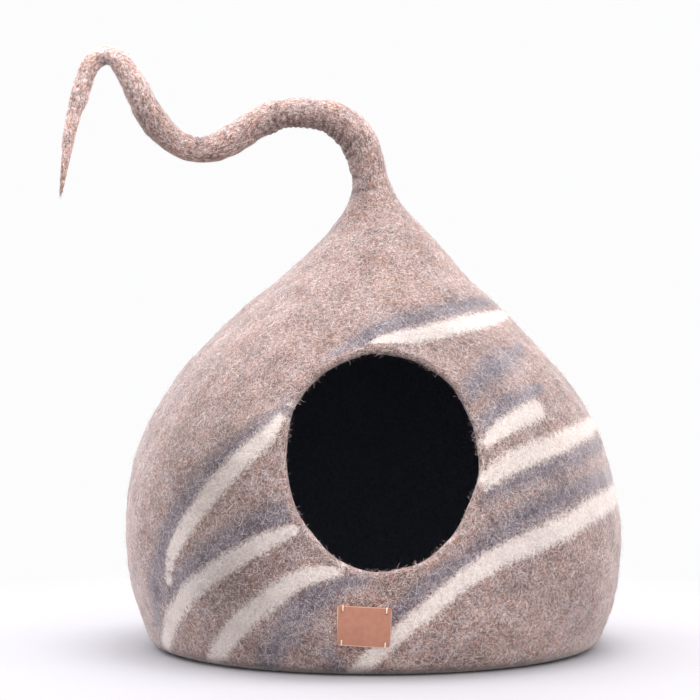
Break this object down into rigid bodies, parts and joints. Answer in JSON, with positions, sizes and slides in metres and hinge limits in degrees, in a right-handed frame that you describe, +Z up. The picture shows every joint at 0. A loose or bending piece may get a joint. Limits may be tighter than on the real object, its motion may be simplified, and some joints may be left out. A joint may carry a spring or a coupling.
{
  "type": "felt cat cave",
  "caption": "Drop-shaped cat cave of thick felted wool with an oval front door, a flat base, a long curling tail on top and a small leather label.",
  "frame": {"origin": "centre of the flat base, on the surface that the cave stands on", "axes": "+Z up; -Y towards the front, where the door is; +X to the right as seen from the front, so the tail curls towards -X"},
  "size_m": [0.5682, 0.5006, 0.6052],
  "materials": {
    "brown_felt": "heathered grey-brown wet-felted wool with soft streaks of white and blue-grey wool, fuzzy; the inner face is near-black wool",
    "tan_leather": "smooth vegetable-tanned leather, tan, with a paler cut edge",
    "cream_thread": "waxed cream sewing thread",
    "charcoal_wool": "near-black felted wool of the inner face"
  },
  "bodies": {
    "root": {"cave_shell": "brown_felt", "label_patch": "tan_leather"}
  },
  "joints": []
}
